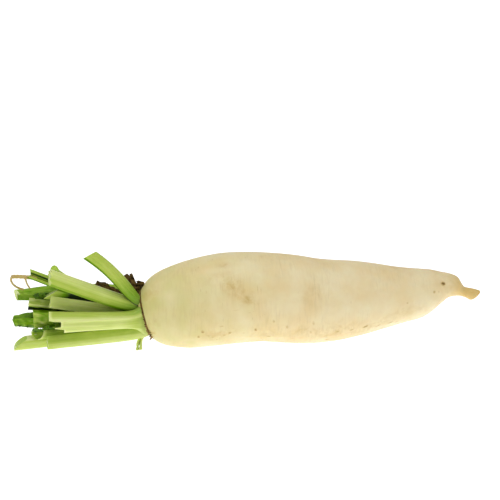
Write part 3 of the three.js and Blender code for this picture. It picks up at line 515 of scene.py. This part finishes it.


# Leaf stalks
# turn and seat place the foot on the crown: degrees from the top to the near side, and how far from its
# middle. foot is its width and depth there, flare how fast it narrows to the stalk's own wide and deep, splay
# how far it leans outwards, bulge how far it runs before it straightens, and lastRun how it heads at the tip.
# taper and taperBend narrow the stalk along its length, pinch its last fifth, and twist turns it, in degrees.
# fullness below 0.85 makes the round back boxier, channel and curl hollow the face and bend its margins in.
# ridge and groove are a place across, from -1 to 1, with a height and a half width. lumpy dents the skin.
# cut slants the trimmed end across and through, steps takes away all beyond a place across, so far back, and
# roundEnd, bevelThrough, ragged and hollow round it, bevel one face, tear it and sink its middle.
# green runs from pale 0 to deep 1, and footGreenAndShade is the foot's, up to where fade ends; above 1 it is
# painted shade for feet deep in the bunch. footShade paints shade into the channel there, mottle and paleEdge
# are patches and a paler rim at the cut, and cutGreen is the cut face's.
# Each of paintedLightBands is a stripe: degrees round, half width, strength, and how much it leans along the
# stalk. A strength above 0 paints shade, one below 0 paints a highlight.

stalkForms = {
    "leaf_stalk_01": {
        "turn": 36, "seat": 13.5, "tip": (-38.4, -15, 81.8), "wide": 10.5, "deep": 7, "taper": 0,
        "foot": (7.5, 5), "splay": 1.6, "bulge": 13, "lastRun": (-25, -3, 20), "cut": (-0.62, 0.1),
        "green": 0.55, "footGreenAndShade": 1.1, "fade": (0.1, 0.7), "cutGreen": 0.9, "paintedLightBands": ((180, 28, 0.6, 0),)},
    "leaf_stalk_02": {
        "turn": 90, "seat": 13.5, "tip": (-72, -25, 30.9), "wide": 12.4, "deep": 9.5, "taper": -0.32,
        "taperBend": 2, "foot": (40, 4), "flare": 6.5, "splay": 0.35, "fullness": 0.5, "curl": 0.08,
        "ridge": (0.5, 1.1, 0.16), "cut": (0, 0.1), "steps": ((3.4, 9.4), (-1.7, 4.7), (-3.4, 12)),
        "green": 0.26, "footGreenAndShade": 0.6, "fade": (0.05, 0.45), "paleEdge": 0.6, "cutGreen": 0,
        "paintedLightBands": ((0, 50, 0.26, 0), (60, 9, -0.25, 0), (168, 40, -0.2, 0))},
    "leaf_stalk_03": {
        "turn": 143, "seat": 14.5, "tip": (-74, -22, 13.6), "wide": 13.5, "deep": 9.5, "foot": (14, 5.5),
        "splay": 0.2, "green": 0.42, "paintedLightBands": ((-10, 60, 0.25, 0),)},
    "leaf_stalk_04": {
        "turn": 182, "seat": 14, "tip": (-101, -5, 7.2), "wide": 13.5, "deep": 11, "foot": (12, 5.5),
        "channel": 0, "curl": 0.06, "bevelThrough": (-1, -6, 0.13), "green": 0.43, "cutGreen": 0.9,
        "paintedLightBands": ((-90, 75, -0.35, 0),)},
    "leaf_stalk_05": {
        "turn": 222, "seat": 14, "tip": (-69, 24, 8.5), "wide": 11.5, "deep": 8.5, "foot": (12, 5.5),
        "splay": 0.2, "green": 0.4},
    "leaf_stalk_06": {
        "turn": 262, "seat": 14.5, "tip": (-62, 28, 25), "wide": 13, "deep": 8.5, "foot": (14, 5.5),
        "splay": 0.6, "cut": (-0.3, 0), "green": 0.45},
    "leaf_stalk_07": {
        "turn": 310, "seat": 14, "tip": (-97.5, 20, 38.7), "wide": 16, "deep": 9.5, "taper": 0.15,
        "pinch": 0.28, "foot": (13, 5.5), "splay": 0.35, "bulge": 28, "cut": (0.4, 0.5), "green": 0.95,
        "footGreenAndShade": 0.9, "footShade": 1.4, "fade": (0.4, 0.75), "mottle": 0.15, "cutGreen": 0.1,
        "paintedLightBands": ((-5, 20, 0.6, 0),)},
    "leaf_stalk_08": {
        "turn": 320, "seat": 7, "tip": (-67, 8, 62.6), "wide": 8, "deep": 7, "foot": (7, 5), "bulge": 20,
        "lastRun": (-2, -12, 14), "green": 0.6, "cutGreen": 1},
    "leaf_stalk_09": {
        "turn": 42, "seat": 8, "tip": (-71, -17, 65.8), "wide": 12.8, "deep": 8.5, "taper": 0,
        "foot": (10.5, 5.5), "splay": 0.6, "bulge": 13, "cut": (0.2, 0), "roundEnd": 2, "ragged": 2,
        "green": 0.22, "footGreenAndShade": 0.85, "fade": (0.05, 0.7),
        "paintedLightBands": ((180, 26, 0.35, 0), (160, 55, 0.25, 0), (12, 42, -0.3, 0))},
    "leaf_stalk_10": {
        "turn": 230, "seat": 1.5, "tip": (-86, 5, 60.6), "wide": 11, "deep": 7, "taper": 0.32, "foot": (7, 5),
        "bulge": 14, "groove": (0.1, 2.2, 0.14), "cut": (0, -0.8), "green": 0.62, "cutGreen": 0.2,
        "paintedLightBands": ((252, 11, 0.9, 0), (0, 40, 0.6, 0))},
    "leaf_stalk_11": {
        "turn": 150, "seat": 8, "tip": (-81.5, -10, 17), "wide": 10, "deep": 9, "foot": (8, 5),
        "fullness": 0.55, "cut": (-1.1, 0), "hollow": 2.6, "green": 0.72, "paleEdge": 0.6, "cutGreen": 1.5,
        "paintedLightBands": ((-60, 60, 0.35, 0),)},
    "leaf_stalk_12": {
        "turn": 208, "seat": 7.5, "tip": (-101, 8, 21.2), "wide": 12.5, "deep": 12, "taper": 0.05,
        "pinch": 0.35, "foot": (8, 5), "lastRun": (-25, 2, -4), "twist": 25, "lumpy": 0.5, "cut": (0, -0.2),
        "roundEnd": 3, "bevelThrough": (-1, 1, 0.3), "green": 1.02, "footGreenAndShade": 1.7, "mottle": 0.5,
        "paleEdge": -0.25, "cutGreen": 1},
    "leaf_stalk_13": {
        "turn": 288, "seat": 8, "tip": (-60, 30, 41), "wide": 9.5, "deep": 7, "foot": (8, 5), "splay": 0.3,
        "bulge": 9, "green": 0.45},
    "leaf_stalk_14": {
        "turn": 100, "seat": 2.5, "tip": (-71, -8, 41.2), "wide": 10.5, "deep": 7.5, "foot": (6, 5),
        "bulge": 14, "green": 0.22, "footGreenAndShade": 0.4, "paintedLightBands": ((150, 60, -0.05, 0),)},
    "leaf_stalk_15": {
        "turn": 250, "seat": 3, "tip": (-88, 6, 36.2), "wide": 10, "deep": 9, "foot": (6, 5), "bulge": 14,
        "twist": 60, "lumpy": 0.5, "green": 0.6, "footGreenAndShade": 1.5, "mottle": 0.4,
        "paintedLightBands": ((60, 50, 1.4, 0), (-6, 14, -0.4, 0), (225, 25, -0.3, 0))},
    "leaf_stalk_16": {
        "turn": 172, "seat": 4.5, "tip": (-84.5, -4, 28.8), "wide": 15, "deep": 15.5, "foot": (6, 4.5),
        "bulge": 16, "lumpy": 0.4, "cut": (0, -0.1), "green": 0.95, "footGreenAndShade": 1.6, "mottle": 0.5,
        "paintedLightBands": ((-75, 40, 1, 0), (-30, 9, -0.45, 15), (30, 55, -0.25, 15))},
    "leaf_stalk_17": {
        "turn": 0, "seat": 1.5, "tip": (-72.5, 2, 44), "wide": 9, "deep": 9, "foot": (5, 4.5), "splay": 0.1,
        "cut": (0, -1.2), "green": 0.5, "footGreenAndShade": 2.4, "fade": (0.78, 1)},
}
plainStalk = {"turn": 30, "seat": 12, "taper": 0.12, "taperBend": 1, "pinch": 0, "flare": 12, "splay": 0,
              "bulge": 12, "twist": 0, "fullness": 0.85, "channel": 0.24, "curl": 0.2, "ridge": (0, 0, 1),
              "groove": (0, 0, 1), "lumpy": 0, "shrivel": 0, "cut": (0, 0), "steps": (), "roundEnd": 0,
              "bevelThrough": (1, 0, 0), "ragged": 0, "hollow": 0, "green": 0, "footShade": 0,
              "fade": (0.5, 0.95), "mottle": 0, "paleEdge": 0, "cutGreen": 0.3, "dried": 0, "paintedLightBands": ()}
stalkDetail = {"sides": 72, "rings": 54, "ribs": 11, "ribHigh": 0.1, "lumpSize": 1.8, "mottleSize": 2.6,
               "sunk": 2.5,  # how deep the foot starts inside the crown
               "backShare": 0.62, "faceShare": 0.38,  # of the depth, on the round back and in the channel
               "cutRings": ((0.99, -0.12), (0.95, 0.05), (0.9, 0.3), (0.8, 0.35), (0.68, 0.3), (0.54, 0.25),
                            (0.4, 0.25), (0.26, 0.25), (0.12, 0.25))}


def stalkPath(form):
    form = {**plainStalk, **form}
    if "knots" in form:  # a strip that grows from another stalk
        knots = [Vector(knot) for knot in form["knots"]]
        return {"spoke": Vector(form["facing"]), "knots": knots, "length": (knots[3] - knots[0]).length}
    spoke = crownSpoke(form["turn"])
    foot = crown["middle"] + spoke * form["seat"] - crownOut * stalkDetail["sunk"]
    leave = (Vector((-1, 0, 0.02)) + spoke * form["splay"]).normalized()
    tip = Vector(form["tip"])
    first = foot + leave * (form["bulge"] + stalkDetail["sunk"])
    second = (foot + leave * 0.8 * form["bulge"]).lerp(tip, 0.38)
    if "lastRun" in form:
        second = tip - Vector(form["lastRun"])
    return {"spoke": spoke, "knots": (foot, first, second, tip), "length": (tip - foot).length}


def pathPlace(path, along):  # the place on a stalk's middle line, and the way it runs there
    a, b, c, d = path["knots"]
    rest = 1 - along
    place = a * rest ** 3 + b * 3 * rest * rest * along + c * 3 * rest * along * along + d * along ** 3
    run = (b - a) * rest * rest + (c - b) * 2 * rest * along + (d - c) * along * along
    return place, run.normalized()


def trimmedBy(form, across, out):  # how far the cut runs ahead of or behind the tip
    cutAcross, cutThrough = form["cut"]
    ahead = cutAcross * across + cutThrough * out
    back = 0
    for edge, depth in form["steps"]:
        back += (depth - back) * smoothStep(edge - across, -0.3, 0.3)
    face, start, bend = form["bevelThrough"]
    back += form["roundEnd"] * (across / form["wide"] * 2) ** 4 + bend * max(0, face * out - start) ** 2
    return ahead - back + form["ragged"] * noise.noise(Vector((across * 0.45, out * 0.3, 3)))


# A point on a stalk's skin: round from one margin over the round back to the other margin, and back
# through the channel. share below 1 is inside the cut end, sink is how far back from the cut it lies.
def stalkPoint(form, path, along, around, share=1.0, sink=0.0):
    footWide, footDeep = form.get("foot", (form["wide"], form["deep"]))
    nearFoot = exp(-along * path["length"] / form["flare"])
    taper = 1 - form["taper"] * along ** form["taperBend"] - form["pinch"] * smoothStep(along, 0.82, 1)
    wide = (form["wide"] * taper + (footWide - form["wide"]) * nearFoot) / 2
    deep = form["deep"] * taper + (footDeep - form["deep"]) * nearFoot
    wrap = wide * wide / (2 * (form["seat"] + 6))  # the foot follows the crown's own curve
    curl = form["curl"] * form["wide"] * (1 - nearFoot) + wrap * nearFoot
    sideways, outwards = cos(around), sin(around)
    across = wide * sideways
    if outwards > 0:
        out = stalkDetail["backShare"] * deep * outwards ** form["fullness"]
        out += stalkDetail["ribHigh"] * cos(stalkDetail["ribs"] * around) * outwards * (1 - nearFoot)
    else:
        out = -stalkDetail["faceShare"] * deep * abs(outwards) ** 0.6
        out += form["channel"] * deep * (1 - nearFoot) * (1 - abs(sideways) ** 1.6)
    out -= curl * (sideways * sideways - 0.35)
    spot, high, half = form["ridge" if outwards > 0 else "groove"]
    out += high * bell((sideways - spot) / half) * (1 - nearFoot)
    if form["shrivel"]:
        crumple = 1 + form["shrivel"] * sin(5 * around + 19 * along) * cos(3 * around - 23 * along)
        fine = 1 + 0.12 * noise.noise(Vector((3 * sideways, 3 * outwards, 40 * along)))
        across *= crumple * fine
        out *= (crumple + form["shrivel"] * sin(31 * along)) * fine
    across *= share
    out *= share
    middle, run = pathPlace(path, along)
    back = (path["spoke"] - run * path["spoke"].dot(run)).normalized()
    back = Quaternion(run, radians(form["twist"]) * along) @ back
    side = run.cross(back)
    ahead = trimmedBy(form, across, out) * along ** 4 - sink
    place = middle + side * across + back * out + run * ahead
    return place, Vector((across, out, along * path["length"] + ahead))


def drawStalk(bm, form, sides=stalkDetail["sides"], rings=stalkDetail["rings"]):
    form = {**plainStalk, **form}
    layers = bm.verts.layers
    aroundOf, rimOf, greenAndShadeOf, cutGreenOf, footOf, driedOf = [
        layers.float.get(name) or layers.float.new(name)
        for name in ("around", "rim", "green", "cutGreen", "foot", "dried")]
    sectionOf = layers.float_vector.get("section") or layers.float_vector.new("section")
    path = stalkPath(form)
    seed = form["turn"] * 0.37 + form["seat"]  # no two stalks share their streaks

    def place(ring, along, share, sink):
        for vert in ring:
            vert.co, section = stalkPoint(form, path, along, vert[aroundOf], share, sink)
            vert.co += form["lumpy"] * along ** 2 * noise.noise_vector(vert.co / stalkDetail["lumpSize"])
            vert.co.z = max(vert.co.z, 0)
            vert[sectionOf] = section + Vector((seed * 13, seed * 7, 0))
            vert[rimOf] = share
            # the foot's green above 1 is painted shade for feet deep in the bunch, and footShade paints shade
            # into the channel side
            footGreenAndShade = form.get("footGreenAndShade", form["green"] - 0.1)
            fade = smoothStep(along, *form["fade"])
            green = footGreenAndShade + (form["green"] - footGreenAndShade) * fade
            green += form["footShade"] * (1 - fade) * smoothStep(-sin(vert[aroundOf]), -0.2, 0.3)
            green += form["mottle"] * noise.noise(vert.co / stalkDetail["mottleSize"])
            green -= form["paleEdge"] * (along == 1)
            # bands are painted stripes: shade where the strength is above 0, a highlight where it is below
            for middle, half, strength, lean in form["paintedLightBands"]:
                middle += lean * (1 - along) * path["length"]
                off = abs((degrees(vert[aroundOf]) - middle + 180) % 360 - 180)
                green += strength * (1 - smoothStep(off, half * 0.7, half))
            # the green attribute holds the stalk's green and the painted shade and highlights added to it
            vert[greenAndShadeOf] = green
            vert[cutGreenOf] = form["cutGreen"]
            vert[driedOf] = form["dried"]
            if form["steps"]:  # a scrap of leaf blade is left beyond the first step
                beyondStep = smoothStep(form["steps"][0][0] + 0.3 - section.x, 0, 0.6)
                vert[cutGreenOf] += 2 * beyondStep
                vert.co += beyondStep * (1 - share) * noise.noise_vector(vert.co / 1.1)
            vert[footOf] = 0.35 * exp(-along * path["length"] / 9)

    ring = bmesh.ops.create_circle(bm, cap_ends=True, radius=1, segments=sides)["verts"]
    for vert in ring:
        vert[aroundOf] = atan2(vert.co.y, vert.co.x)
    place(ring, 0, 1, 0)
    inRing = set(ring)
    loop = [edge for edge in bm.edges if edge.verts[0] in inRing and edge.verts[1] in inRing]
    stages = [(((i + 1) / rings) ** 1.25, 1, 0) for i in range(rings)]
    for share, sink in stalkDetail["cutRings"]:
        stages.append((1, share, sink + form["hollow"] * smoothStep(1 - share, 0.1, 0.4)))
    for along, share, sink in stages:
        grown = bmesh.ops.extrude_edge_only(bm, edges=loop)
        ring = newParts(grown, bmesh.types.BMVert)
        inRing = set(ring)
        loop = [edge for edge in newParts(grown, bmesh.types.BMEdge) if inRing.issuperset(edge.verts)]
        place(ring, along, share, sink)
        if share < 0.99:
            for vert in ring:
                for face in vert.link_faces:
                    face.material_index = 1
    middle = sum((vert.co for vert in ring), Vector()) / len(ring)
    bmesh.ops.pointmerge(bm, verts=ring, merge_co=middle)


# a dried strip of skin that has peeled off stalk 10 and hangs down on stalk 7, facing up and to the near side
peeledSkin = {
    "stalk": "leaf_stalk_10",
    "strips": [
        {"wide": 3.8, "deep": 1.2,
         "knots": ((-81, 6, 57), (-88, 3.5, 58.8), (-94, 2, 60.6), (-100.6, 2, 60.2))},
        {"wide": 2, "deep": 1.3,
         "knots": ((-99.8, 2, 60.6), (-103, 3, 57), (-100.5, 9, 49), (-92.5, 15.5, 44.6))},
        {"wide": 1.7, "deep": 1.1,
         "knots": ((-89.7, 2, 58.6), (-89.8, 4, 54.5), (-88.6, 9, 50), (-87, 15.5, 45))},
    ],
    "shared": {"facing": (0, -0.6, 0.8), "green": 0.3, "dried": 0.85, "shrivel": 0.1},
}

for number, (node, form) in enumerate(stalkForms.items(), start=1):
    bm = bmesh.new()
    drawStalk(bm, form)
    if node == peeledSkin["stalk"]:
        for strip in peeledSkin["strips"]:
            drawStalk(bm, {**peeledSkin["shared"], **strip}, sides=20, rings=36)
    finishPiece(f"leafStalk{number:02d}", bm, [stalkSkin, stalkPith], node)
print("leaf stalks made")


# The young forked leaf under the crown, and the withered ones on top

youngLeaf = [
    {"turn": 163, "seat": 15, "tip": (-3.2, -13, 0.9), "wide": 2.8, "deep": 2, "foot": (3, 2), "bulge": 6,
     "lastRun": (1.5, 0, -6), "green": 0.45},
    {"turn": 163, "seat": 15, "tip": (-0.9, -13, 1.1), "wide": 4, "deep": 2.4, "foot": (3, 2), "bulge": 6,
     "lastRun": (0.5, -1, -8), "green": 0.35},
]
witheredLeaves = {  # shrivel is how deep the drying has crumpled the stump
    "withered_leaf_01": [
        {"turn": 20, "seat": 9, "tip": (-35, 2, 51.7), "wide": 9, "deep": 6, "foot": (6, 4), "splay": 0.2,
         "bulge": 7, "shrivel": 0.3},
    ],
    "withered_leaf_02": [
        {"turn": 6, "seat": 14, "tip": (-12, 4, 57.6), "wide": 7, "deep": 4, "foot": (10, 4), "splay": 1.2,
         "bulge": 5, "shrivel": 0.25},
        {"turn": 355, "seat": 15, "tip": (-6.8, 6, 58.2), "wide": 2.2, "deep": 1.8, "foot": (4, 3),
         "splay": 2, "bulge": 6},
        {"turn": 358, "seat": 15.5, "tip": (0.5, 2, 53), "wide": 8, "deep": 4, "foot": (12, 4), "splay": 1.5,
         "bulge": 2, "shrivel": 0.25},
    ],
}

bm = bmesh.new()
for prong in youngLeaf:
    drawStalk(bm, prong, sides=24, rings=30)
finishPiece("youngLeaf", bm, [stalkSkin, stalkPith], "young_leaf")

for number, (node, parts) in enumerate(witheredLeaves.items(), start=1):
    bm = bmesh.new()
    for part in parts:
        drawStalk(bm, part, sides=48, rings=70)
    finishPiece(f"witheredLeaf{number:02d}", bm, [dryLeaf, dryLeaf], node)
print("young and withered leaves made")


# Frills of leaf blade along the stalks
# from and to are where the frill sits along its stalk, towards the way it stands out, reach how far, waves
# how often its edge waves, and rise lifts it off the stalk's middle line.

leafLobes = {
    "leaf_lobe_01": {"stalk": "leaf_stalk_12", "from": 0.8, "to": 0.97,
                     "towards": (0, -0.5, -1), "reach": 6, "waves": 2.5},
    "leaf_lobe_02": {"stalk": "leaf_stalk_15", "from": 0.84, "to": 0.98,
                     "towards": (0, -0.2, 1), "reach": 5.5, "waves": 2.5, "rise": (0, 0, 4)},
    "leaf_lobe_03": {"stalk": "leaf_stalk_16", "from": 0.7, "to": 0.9,
                     "towards": (0, -0.8, -0.5), "reach": 9.5, "waves": 2.5},
    "leaf_lobe_04": {"stalk": "leaf_stalk_11", "from": 0.86, "to": 1.03,
                     "towards": (0, -0.7, 0.7), "reach": 7, "waves": 2.5, "rise": (0, -1, 1.2)},
}
lobeDetail = {"along": 72, "outwards": 24, "thick": 0.7}


def drawLobe(form):
    bm = bmesh.new()
    path = stalkPath(stalkForms[form["stalk"]])
    bmesh.ops.create_grid(bm, x_segments=lobeDetail["along"], y_segments=lobeDetail["outwards"], size=0.5)
    for vert in bm.verts:
        u, v = vert.co.x + 0.5, vert.co.y + 0.5
        along = form["from"] + (form["to"] - form["from"]) * (0.5 + (u - 0.5) * (0.8 + 0.2 * v))
        middle, run = pathPlace(path, along)
        towards = Vector(form["towards"])
        towards = (towards - run * towards.dot(run)).normalized()
        face = run.cross(towards)
        turns = 2 * pi * form["waves"] * u
        outline = (0.55 + 0.45 * max(0, sin(pi * u)) ** 0.7) * (1 + 0.1 * sin(turns + 1))
        outline *= 1 + 0.06 * sin(4 * turns) * v
        frill = 1.6 * max(0, v - 0.35) * sin(turns) + 0.7 * max(0, v - 0.5) * sin(3.3 * turns + 2)
        vert.co = middle + Vector(form.get("rise", (0, 0, 0)))
        vert.co += towards * v * form["reach"] * outline + face * frill
    bmesh.ops.recalc_face_normals(bm, faces=bm.faces)
    bmesh.ops.solidify(bm, geom=[*bm.verts, *bm.edges, *bm.faces], thickness=lobeDetail["thick"])
    return bm


for number, (node, form) in enumerate(leafLobes.items(), start=1):
    finishPiece(f"leafLobe{number:02d}", drawLobe(form), [leafBlade], node)
print("leaf frills made")


# The dry collar of old leaf bases

collar = {"edge": 20.7, "back": -3.6, "bandThin": 0.6, "bandThick": 1.5, "scales": 210, "seed": 7,
          "fringeTurn": 132,  # where the longest scales hang, as degrees from the top
          "bareTo": 72}  # no scales from the top round to here


def collarPlace(form, turn, radius, out):
    middle = crown["middle"] + crownOut * form["back"]
    return middle + crownSpoke(turn) * radius + crownOut * out


def fringeShare(form, turn):  # how near a place round the crown is to the long fringe
    return max(0, cos(radians(turn - form["fringeTurn"]))) ** 6


def drawCollar(form):
    bm = bmesh.new()
    strawOf = bm.verts.layers.float.new("straw")
    # the band: a small ring of section swept round the crown
    sectionRing = bmesh.ops.create_circle(bm, radius=1, segments=10)["verts"]
    bmesh.ops.translate(bm, verts=sectionRing, vec=(form["edge"], 0, 0))
    upright = Matrix.Rotation(pi / 2, 3, "X")
    bmesh.ops.rotate(bm, verts=sectionRing, cent=(form["edge"], 0, 0), matrix=upright)
    bmesh.ops.spin(bm, geom=[*bm.verts, *bm.edges], axis=(0, 0, 1), cent=(0, 0, 0),
                   angle=tau, steps=160, use_merge=True)
    for vert in bm.verts:
        turn = degrees(atan2(vert.co.y, vert.co.x))
        radius = hypot(vert.co.x, vert.co.y) - form["edge"]
        fringe = fringeShare(form, turn)
        rough = 1 + 0.45 * noise.noise(Vector((vert.co.x / 1.6, vert.co.y / 1.6, vert.co.z)))
        thick = rough * (form["bandThin"] + (form["bandThick"] - form["bandThin"]) * fringe)
        vert[strawOf] = 0.15 + 0.4 * noise.noise(vert.co / 2.2) + 0.3 * fringe
        vert.co = collarPlace(form, turn, form["edge"] + radius * thick, -1.2 * thick * vert.co.z)
    # papery scales, each a narrow tongue
    pick = random.Random(form["seed"])
    for i in range(form["scales"]):
        turn = form["bareTo"] + (i + pick.random()) * (360 - form["bareTo"]) / form["scales"]
        fringe = fringeShare(form, turn)
        backwards = pick.random() < 0.6 * fringe  # some of the fringe lies back over the root's shoulder
        long = 0.4 + 0.6 * pick.random() ** 2 + (1.2 + 2.6 * pick.random()) * fringe
        wide = 0.4 + 0.4 * pick.random() + 0.9 * fringe
        spoke = crownSpoke(turn)
        run = crownOut * (-0.7 if backwards else 0.9) + spoke * (pick.uniform(0.1, 0.5) + 0.75 * fringe)
        run += crownSpoke(turn + 90) * pick.uniform(-0.35, 0.35)
        run.normalize()
        side = run.cross(spoke).normalized()
        face = side.cross(run)
        radius = form["edge"] - 0.3 + 0.5 * pick.random() + 1.2 * fringe
        start = collarPlace(form, turn, radius, -0.6 + pick.random())
        tongue = bmesh.ops.create_cone(bm, cap_ends=True, segments=6,
                                       radius1=1, radius2=0.15, depth=1)["verts"]
        stand = Matrix((side * wide, face * 0.3, run * long)).transposed().to_4x4()
        stand.translation = start + run * long * 0.4
        bmesh.ops.transform(bm, matrix=stand, verts=tongue)
        straw = pick.random() * (0.4 + 0.6 * fringe)
        for vert in tongue:
            vert.co += 0.25 * noise.noise_vector(vert.co / 1.3)
            vert.co.z = max(vert.co.z, 0)
            vert[strawOf] = straw
    return finishPiece("leafCollar", bm, [dryLeaf], "leaf_collar")


drawCollar(collar)
print("collar made")


# Studio: a glowing pale floor, soft lights and the camera

studio = {"floorGlow": 1.15, "worldGlow": 0.375,
          "keyPower": 6.8, "keySize": 0.9, "keyPlace": (-0.15, -0.14, 1.15)}  # watts and metres


def drawFloor(form):
    bm = bmesh.new()
    bmesh.ops.create_grid(bm, x_segments=1, y_segments=1, size=4)
    bmesh.ops.translate(bm, verts=bm.verts, vec=(0, 0, -0.0002))
    material, add = startMaterial("whiteAcrylicFloor")  # lit from below
    finishMaterial(add, {"Base Color": (0.2, 0.2, 0.2, 1), "Roughness": 0.9, "Emission Color": (1, 1, 1, 1),
                         "Emission Strength": form["floorGlow"], "Specular IOR Level": 0})
    addObject("paleFloor", makeMesh("paleFloor", bm, [material]))


drawFloor(studio)

world = bpy.data.worlds.new("softStudio")
world.use_nodes = True
world.node_tree.nodes["Background"].inputs["Color"].default_value = (1, 1, 1, 1)
world.node_tree.nodes["Background"].inputs["Strength"].default_value = studio["worldGlow"]
bpy.context.scene.world = world

key = bpy.data.lights.new("keyPanel", "AREA")
key.energy = studio["keyPower"]
key.size = studio["keySize"]
keyPanel = addObject("keyPanel", key)
keyPanel.location = studio["keyPlace"]
keyPanel.rotation_mode = "QUATERNION"
keyPanel.rotation_quaternion = (-keyPanel.location).to_track_quat("-Z", "Y")

# angles in degrees, places in metres, the lens in millimetres
cameraPlace = {"azimuth": -5.4, "elevation": 18, "distance": 1.4,
               "lookAt": (0.001317, -0.000035, 0.0771), "lens": 127.32}
azimuth, elevation = radians(cameraPlace["azimuth"]), radians(cameraPlace["elevation"])
away = Vector((cos(elevation) * sin(azimuth), -cos(elevation) * cos(azimuth), sin(elevation)))
cameraData = bpy.data.cameras.new("studioCamera")
cameraData.lens = cameraPlace["lens"]
cameraData.sensor_width = 36
camera = addObject("studioCamera", cameraData)
camera.location = Vector(cameraPlace["lookAt"]) + away * cameraPlace["distance"]
camera.rotation_mode = "QUATERNION"
camera.rotation_quaternion = (-away).to_track_quat("-Z", "Y")
bpy.context.scene.camera = camera
bpy.context.scene.view_settings.view_transform = "Standard"
print("studio made")
